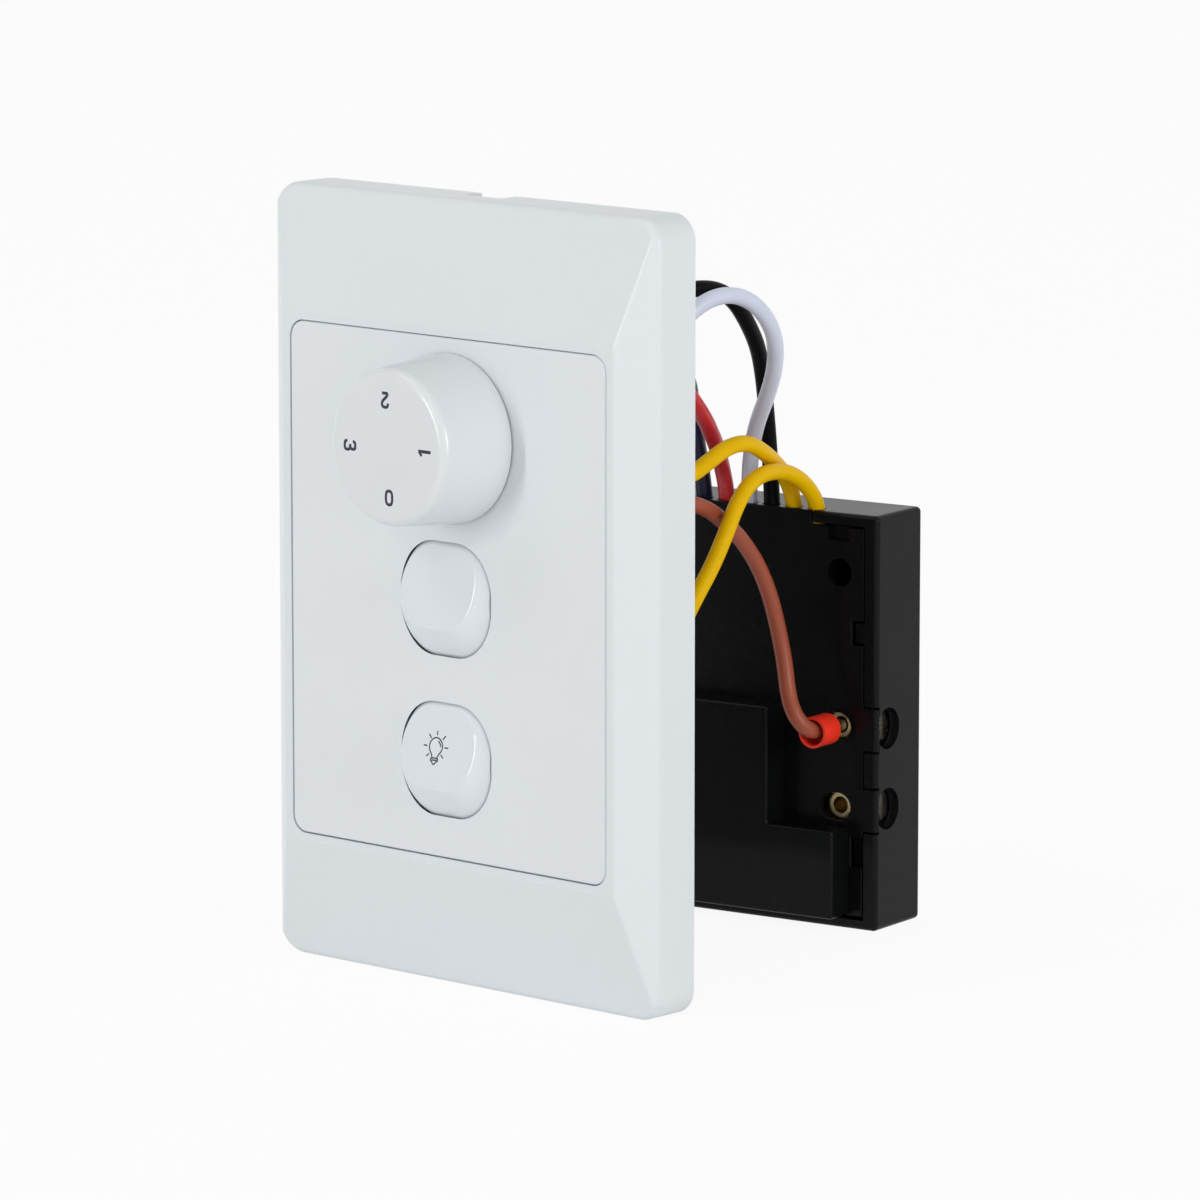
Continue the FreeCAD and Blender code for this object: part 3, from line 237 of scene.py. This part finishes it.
def feed(tree, socket, value):
    if isinstance(value, (int, float, tuple)):
        socket.default_value = value
    else:
        tree.links.new(value, socket)


def addMath(tree, operation, first, second, clamp=False):
    node = addNode(tree, "ShaderNodeMath", operation=operation, use_clamp=clamp)
    feed(tree, node.inputs[0], first)
    feed(tree, node.inputs[1], second)
    return node.outputs[0]


def addNoise(tree, vector, scale, detail, roughness=0.5):
    noise = addNode(tree, "ShaderNodeTexNoise")
    for label, value in (("Vector", vector), ("Scale", scale), ("Detail", detail),
                         ("Roughness", roughness)):
        feed(tree, noise.inputs[label], value)
    return noise.outputs["Fac"]


def addColourMix(tree, factor, first, second):
    blend = addNode(tree, "ShaderNodeMix", data_type="RGBA")
    feed(tree, blend.inputs[mixSockets["factor"]], factor)
    feed(tree, blend.inputs[mixSockets["first"]], first)
    feed(tree, blend.inputs[mixSockets["second"]], second)
    return blend.outputs[mixSockets["result"]]


def varyRoughness(tree, roughness, noise, spread):
    change = addMath(tree, "MULTIPLY", addMath(tree, "SUBTRACT", noise, noiseMiddle), spread)
    return addMath(tree, "ADD", roughness, change, True)


def buildMouldedGroup():
    group, given, made = newGroup("mouldedPlastic", {
        "Vector": "Vector", "Colour": "Color", "Shade": "Float", "Cloud Scale": "Float",
        "Grain Scale": "Float", "Roughness": "Float", "Roughness Spread": "Float"}, skinOutputs)
    cloud = addNoise(group, given["Vector"], given["Cloud Scale"], mouldedLook["cloudDetail"])
    grain = addNoise(group, given["Vector"], given["Grain Scale"], mouldedLook["grainDetail"],
                     mouldedLook["grainRoughness"])
    level = addMath(group, "SUBTRACT", 1.0, addMath(group, "MULTIPLY", cloud, given["Shade"]))
    tint = addNode(group, "ShaderNodeVectorMath", operation="SCALE")
    feed(group, tint.inputs[0], given["Colour"])
    feed(group, tint.inputs["Scale"], level)
    feed(group, made["Colour"], tint.outputs["Vector"])
    feed(group, made["Roughness"], varyRoughness(group, given["Roughness"], cloud,
                                                 given["Roughness Spread"]))
    feed(group, made["Height"], grain)
    return group


def buildDustGroup():
    group, given, made = newGroup("settledDust", {"Vector": "Vector", "Amount": "Float"},
                                  {"Mask": "Float"})
    speck = addNoise(group, given["Vector"], dustLook["speckScale"], dustLook["speckDetail"],
                     dustLook["speckRoughness"])
    patch = addNoise(group, given["Vector"], dustLook["patchScale"], dustLook["patchDetail"])
    settled = addMath(group, "MULTIPLY", speck, patch)
    picked = addMath(group, "SUBTRACT", settled, dustLook["threshold"])
    spread = addMath(group, "MULTIPLY", picked, dustLook["contrast"], True)
    feed(group, made["Mask"], addMath(group, "MULTIPLY", spread, given["Amount"], True))
    return group


def buildMetalGroup():
    group, given, made = newGroup("machinedMetal", {
        "Vector": "Vector", "Colour": "Color", "Tarnish": "Color", "Tarnish Amount": "Float",
        "Roughness": "Float"}, skinOutputs)
    stain = addNoise(group, given["Vector"], metalLook["stainScale"], metalLook["stainDetail"],
                     metalLook["stainRoughness"])
    lines = addNoise(group, given["Vector"], metalLook["lineScale"], metalLook["lineDetail"])
    amount = addMath(group, "MULTIPLY", stain, given["Tarnish Amount"], True)
    feed(group, made["Colour"], addColourMix(group, amount, given["Colour"], given["Tarnish"]))
    feed(group, made["Roughness"], varyRoughness(group, given["Roughness"], stain,
                                                 metalLook["roughnessSpread"]))
    feed(group, made["Height"], lines)
    return group


mouldedGroup = buildMouldedGroup()
dustGroup = buildDustGroup()
metalGroup = buildMetalGroup()


def startMaterial(name):
    material = bpy.data.materials.new(name)
    material.use_nodes = True
    tree = material.node_tree
    place = addNode(tree, "ShaderNodeTexCoord")
    return material, tree, tree.nodes["Principled BSDF"].inputs, place.outputs["Object"]


def placeGroup(tree, group, vector, values):
    node = addNode(tree, "ShaderNodeGroup", node_tree=group)
    feed(tree, node.inputs["Vector"], vector)
    for label, value in values.items():
        feed(tree, node.inputs[label], value)
    return node.outputs


def addBump(tree, surface, height, distance, strength):
    bump = addNode(tree, "ShaderNodeBump")
    feed(tree, bump.inputs["Distance"], distance)
    feed(tree, bump.inputs["Strength"], strength)
    feed(tree, bump.inputs["Height"], height)
    feed(tree, surface["Normal"], bump.outputs["Normal"])


def makePlastic(name, plan):
    plan = {**plainPlastic, **plan}
    material, tree, surface, vector = startMaterial(name)
    skin = placeGroup(tree, mouldedGroup, vector, {
        "Colour": plan["colour"], "Shade": plan["shade"], "Cloud Scale": plan["cloud"],
        "Grain Scale": plan["grain"], "Roughness": plan["roughness"],
        "Roughness Spread": plan["spread"]})
    colour = skin["Colour"]
    if "dust" in plan:
        dust = placeGroup(tree, dustGroup, vector, {"Amount": plan["dust"]})
        colour = addColourMix(tree, dust["Mask"], colour, plan["dustColour"])
    feed(tree, surface["Base Color"], colour)
    feed(tree, surface["Roughness"], skin["Roughness"])
    feed(tree, surface["Specular IOR Level"], plan["specular"])
    feed(tree, surface["Coat Weight"], plan["coat"])
    feed(tree, surface["Coat Roughness"], plan["coatRoughness"])
    addBump(tree, surface, skin["Height"], plan["relief"], plan["reliefStrength"])
    return material


def makeMetal(name, plan):
    material, tree, surface, vector = startMaterial(name)
    metal = placeGroup(tree, metalGroup, vector, {
        "Colour": plan["colour"], "Tarnish": plan["tarnish"], "Tarnish Amount": plan["amount"],
        "Roughness": plan["roughness"]})
    feed(tree, surface["Base Color"], metal["Colour"])
    feed(tree, surface["Roughness"], metal["Roughness"])
    feed(tree, surface["Metallic"], 1.0)
    addBump(tree, surface, metal["Height"], metalLook["reliefDepth"], metalLook["reliefStrength"])
    return material


# Finishes, one for each material slot of the record, with reliefs in metres
plainPlastic = {"specular": 0.5, "coat": 0.0, "coatRoughness": 0.1, "reliefStrength": 1.0}
pvcSheath = {"shade": 0.15, "cloud": 300.0, "grain": 3500.0, "roughness": 0.38, "spread": 0.12,
             "relief": 0.000006}
plasticPlans = {
    "cover_white": {"colour": paint(224, 229, 232), "shade": 0.03, "cloud": 22.0, "grain": 2200.0,
                    "roughness": 0.31, "spread": 0.05, "relief": 0.000002, "specular": 0.45},
    "panel_white": {"colour": paint(226, 230, 233), "shade": 0.03, "cloud": 45.0, "grain": 2200.0,
                    "roughness": 0.30, "spread": 0.06, "relief": 0.000003, "specular": 0.45},
    "knob_white": {"colour": paint(222, 226, 229), "shade": 0.03, "cloud": 80.0, "grain": 2600.0,
                   "roughness": 0.21, "spread": 0.04, "relief": 0.000001, "coat": 0.1},
    "rocker_white": {"colour": paint(223, 228, 232), "shade": 0.03, "cloud": 90.0, "grain": 2400.0,
                     "roughness": 0.13, "spread": 0.03, "relief": 0.0000005, "coat": 0.25,
                     "coatRoughness": 0.05},
    "module_grey": {"colour": paint(205, 207, 208), "shade": 0.08, "cloud": 120.0, "grain": 5000.0,
                    "roughness": 0.5, "spread": 0.12, "relief": 0.000008},
    "rotary_housing": {"colour": paint(60, 61, 63), "shade": 0.12, "cloud": 120.0, "grain": 5000.0,
                       "roughness": 0.45, "spread": 0.12, "relief": 0.000008},
    "nylon": {"colour": paint(214, 210, 196), "shade": 0.08, "cloud": 150.0, "grain": 4000.0,
              "roughness": 0.4, "spread": 0.1, "relief": 0.000004},
    "box_black": {"colour": paint(15, 16, 17), "shade": 0.15, "cloud": 120.0, "grain": 5200.0,
                  "roughness": 0.32, "spread": 0.06, "relief": 0.000003, "specular": 0.05,
                  "coat": 0.12, "coatRoughness": 0.09,
                  "dust": 0.02, "dustColour": paint(110, 114, 118)},
    "board": {"colour": paint(150, 108, 62), "shade": 0.2, "cloud": 200.0, "grain": 3000.0,
              "roughness": 0.5, "spread": 0.1, "relief": 0.000006},
    "capacitor": {"colour": paint(58, 60, 70), "shade": 0.15, "cloud": 150.0, "grain": 3000.0,
                  "roughness": 0.35, "spread": 0.1, "relief": 0.000004},
    "collar_orange": {"colour": paint(255, 58, 36), "shade": 0.12, "cloud": 300.0, "grain": 3500.0,
                      "roughness": 0.3, "spread": 0.1, "relief": 0.000004, "coat": 0.1},
    "black_pvc": {**pvcSheath, "colour": paint(14, 14, 16), "specular": 0.06, "shade": 0.2},
    "white_pvc": {**pvcSheath, "colour": paint(212, 218, 236), "shade": 0.07},
    "red_pvc": {**pvcSheath, "colour": paint(204, 38, 46)},
    "navy_pvc": {**pvcSheath, "colour": paint(20, 20, 58), "specular": 0.3},
    "brown_pvc": {**pvcSheath, "colour": paint(162, 80, 56), "specular": 0.3, "roughness": 0.36},
    "yellow_pvc": {**pvcSheath, "colour": paint(240, 190, 0), "specular": 0.08, "shade": 0.1},
}
metalPlans = {
    "brass": {"colour": paint(222, 202, 156), "tarnish": paint(150, 124, 82), "amount": 0.5,
              "roughness": 0.3},
    "zinc_steel": {"colour": paint(222, 220, 212), "tarnish": paint(150, 144, 132), "amount": 0.5,
                   "roughness": 0.28},
    "spring_steel": {"colour": paint(180, 180, 182), "tarnish": paint(90, 88, 84), "amount": 0.4,
                     "roughness": 0.3},
    "tinned_brass": {"colour": paint(214, 208, 190), "tarnish": paint(150, 138, 110), "amount": 0.5,
                     "roughness": 0.32},
}
inkPlan = {"colour": paint(26, 26, 46), "shade": 0.2, "cloud": 900.0, "grain": 6000.0,
           "roughness": 0.5, "spread": 0.1, "relief": 0.000002}
finishes = {slot: makePlastic(slot, plan) for slot, plan in plasticPlans.items()}
finishes.update({slot: makeMetal(slot, plan) for slot, plan in metalPlans.items()})
printInk = makePlastic("printInk", inkPlan)

for part in frame["record"]["subparts"]:
    for holder in nodes[part["node"]].material_slots:
        holder.material = finishes[part["material_slot"]]
for name, plan in wireRoutes.items():
    wires[name].data.materials.append(finishes[plan["slot"]])
print("finishes made:", len(finishes) + 1)

# Printed marks are drawn in millimetres, across and up
perMetre = 1000
strokeBuild = {"order": 3, "steps": 8, "roundness": 3}


def drawStrokes(name, strokes, radius, flatness):
    line = bpy.data.curves.new(name, "CURVE")
    line.dimensions = "3D"
    for kind, places in strokes:
        straight = len(places) == 2
        spline = line.splines.new("POLY" if straight else "NURBS")
        spline.points.add(len(places) - 1)
        for point, (across, up) in zip(spline.points, places):
            point.co = (across / perMetre, 0, up / perMetre, 1)
        if not straight:
            spline.order_u = strokeBuild["order"]
            spline.use_cyclic_u = kind == "ring"
            spline.use_endpoint_u = kind == "line"
    line.resolution_u = strokeBuild["steps"]
    line.bevel_depth = radius / perMetre
    line.bevel_resolution = strokeBuild["roundness"]
    line.use_fill_caps = True
    piece = bpy.data.objects.new(name, line)
    bpy.context.collection.objects.link(piece)
    bpy.ops.object.select_all(action="DESELECT")
    piece.select_set(True)
    bpy.context.view_layer.objects.active = piece
    bpy.ops.object.convert(target="MESH")
    piece.data.materials.append(printInk)
    piece.scale = (1, flatness, 1)
    bpy.ops.object.transform_apply(location=False, rotation=False, scale=True)
    return piece


# Digits on the knob's face, their tops towards its centre
digitPrint = {
    "stroke": 0.24, "flatness": 0.10, "axis": (0.0009, 0.0237),
    "places": {"0": (0.46, -7.21, 0), "1": (7.53, 0.0, 90), "2": (-0.25, 6.89, 180),
               "3": (-7.29, -0.30, -90)},
    "shapes": {
        "0": [("ring", [(0.26, 1.00), (0.62, 0.68), (0.62, -0.68), (0.26, -1.00), (-0.26, -1.00),
                        (-0.62, -0.68), (-0.62, 0.68), (-0.26, 1.00)])],
        "1": [("line", [(0.14, -1.20), (0.14, 1.22)]), ("line", [(0.10, 1.12), (-0.50, 0.58)])],
        "2": [("line", [(-0.56, 0.46), (-0.58, 0.94), (-0.10, 1.08), (0.58, 0.96), (0.62, 0.30),
                        (0.10, -0.16), (-0.44, -0.60), (-0.54, -0.98)]),
              ("line", [(-0.54, -0.98), (0.58, -0.98)])],
        "3": [("line", [(-0.56, 0.58), (-0.54, 1.02), (0.02, 1.06), (0.56, 1.00), (0.56, 0.20),
                        (0.20, 0.04), (-0.16, 0.04)]),
              ("line", [(-0.16, 0.04), (0.24, 0.04), (0.66, -0.14), (0.64, -1.04), (0.00, -1.04),
                        (-0.60, -1.02), (-0.62, -0.50)])],
    },
}


def printDigits():
    axisAcross, axisUp = digitPrint["axis"]
    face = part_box("speed_knob")[0][1]
    for digit, (across, up, lean) in digitPrint["places"].items():
        piece = drawStrokes("digit" + digit, digitPrint["shapes"][digit], digitPrint["stroke"],
                            digitPrint["flatness"])
        piece.rotation_euler = Euler((0, -math.radians(lean), 0), "XYZ")
        piece.location = (axisAcross + across / perMetre, face, axisUp + up / perMetre)
        bpy.ops.object.transform_apply(location=True, rotation=True, scale=False)
        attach(piece, "knob")


printDigits()
print("digits printed")

# Lamp symbol on the lower rocker, its pivot and depth in metres
lampSymbol = {
    "pivot": (0.0, -0.0050, -0.0237), "tilt": -13.0, "faceDepth": -0.0085, "stroke": 0.11,
    "flatness": 0.25,
    "strokes": [
        ("line", [(-1.02, -1.42), (-1.10, -1.00), (-1.62, -0.45), (-1.88, 0.20), (-1.66, 1.02),
                  (-0.95, 1.55), (-0.12, 1.52), (0.55, 1.02), (0.84, 0.22), (0.60, -0.45),
                  (0.08, -1.00), (0.00, -1.42)]),
        ("ring", [(-1.20, -1.46), (0.16, -1.42), (0.22, -1.86), (-0.16, -1.96), (-0.24, -2.20),
                  (-0.54, -2.44), (-0.86, -2.20), (-0.92, -1.98), (-1.26, -1.88)]),
        ("line", [(-1.00, -1.78), (0.00, -1.74)]),
        ("line", [(-0.62, 2.55), (-0.56, 1.92)]),
        ("line", [(-2.18, 1.92), (-1.62, 1.36)]),
        ("line", [(1.12, 1.98), (0.62, 1.40)]),
        ("line", [(-2.95, 0.20), (-2.26, 0.20)]),
        ("line", [(1.20, 0.26), (1.90, 0.28)]),
        ("line", [(-2.14, -1.36), (-1.70, -0.92)]),
        ("line", [(1.18, -1.30), (0.66, -0.86)]),
        ("line", [(-0.20, 1.10), (0.28, 0.74), (0.46, 0.28)]),
    ],
}


def printLampSymbol():
    piece = drawStrokes("lampSymbol", lampSymbol["strokes"], lampSymbol["stroke"],
                        lampSymbol["flatness"])
    tilt = math.radians(lampSymbol["tilt"])
    outwards = Matrix.Rotation(tilt, 4, "X") @ Vector((0, lampSymbol["faceDepth"], 0))
    piece.location = Vector(lampSymbol["pivot"]) + outwards
    piece.rotation_euler = Euler((tilt, 0, 0), "XYZ")
    bpy.ops.object.transform_apply(location=True, rotation=True, scale=False)
    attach(piece, "lower_rocker")


printLampSymbol()
print("lamp symbol printed")

# Floor, background and lights; what the camera and reflections see of the studio is near white
studio = {"floorSize": 8.0, "world": 0.52, "seen": 0.92}
floorFinish = {"Colour": paint(242, 242, 242), "Shade": 0.01, "Cloud Scale": 3.0,
               "Grain Scale": 400.0, "Roughness": 0.7, "Roughness Spread": 0.05}
lamps = {
    "frontLamp": {"width": 0.05, "height": 0.5, "power": 3.8, "place": (-0.34, -1.22, 0.20)},
    "highLamp": {"width": 0.4, "height": 0.3, "power": 0.9, "place": (-0.42, -0.66, 0.90)},
    "rimLamp": {"width": 0.10, "height": 0.16, "power": 0.7, "place": (0.30, -1.05, 0.60)},
    "sideLamp": {"width": 0.28, "height": 0.6, "power": 5.0, "place": (1.20, -0.05, 0.24)},
}


def addSeenRays(tree):
    path = addNode(tree, "ShaderNodeLightPath").outputs
    straight = addMath(tree, "MAXIMUM", path["Is Camera Ray"], path["Is Glossy Ray"])
    return addMath(tree, "MAXIMUM", straight, path["Is Transmission Ray"])


def layFloor():
    bpy.ops.mesh.primitive_plane_add(size=studio["floorSize"], location=(0, 0, cadBox[0][2]))
    floor = bpy.context.object
    floor.name = "studioFloor"
    material, tree, surface, vector = startMaterial("studioFloor")
    skin = placeGroup(tree, mouldedGroup, vector, floorFinish)
    feed(tree, surface["Base Color"], skin["Colour"])
    feed(tree, surface["Roughness"], skin["Roughness"])
    glow = addNode(tree, "ShaderNodeEmission")
    mix = addNode(tree, "ShaderNodeMixShader")
    feed(tree, mix.inputs["Fac"], addMath(tree, "MULTIPLY", addSeenRays(tree), studio["seen"]))
    feed(tree, mix.inputs[1], tree.nodes["Principled BSDF"].outputs["BSDF"])
    feed(tree, mix.inputs[2], glow.outputs["Emission"])
    feed(tree, tree.nodes["Material Output"].inputs["Surface"], mix.outputs["Shader"])
    floor.data.materials.append(material)


def lightWorld():
    world = bpy.data.worlds.new("paleStudio")
    bpy.context.scene.world = world
    world.use_nodes = True
    tree = world.node_tree
    back = tree.nodes["Background"].inputs
    feed(tree, back["Color"], (1.0, 1.0, 1.0, 1.0))
    feed(tree, back["Strength"], addMath(tree, "MAXIMUM", addSeenRays(tree), studio["world"]))


def hangLamp(name, plan):
    bpy.ops.object.light_add(type="AREA", location=plan["place"])
    lamp = bpy.context.object
    lamp.name = name
    lamp.data.shape = "RECTANGLE"
    lamp.data.size = plan["width"]
    lamp.data.size_y = plan["height"]
    lamp.data.energy = plan["power"]
    lamp.rotation_euler = Vector(plan["place"]).to_track_quat("Z", "Y").to_euler()


layFloor()
lightWorld()
for name, plan in lamps.items():
    hangLamp(name, plan)
bpy.context.scene.view_settings.view_transform = "Standard"
print("studio lit")
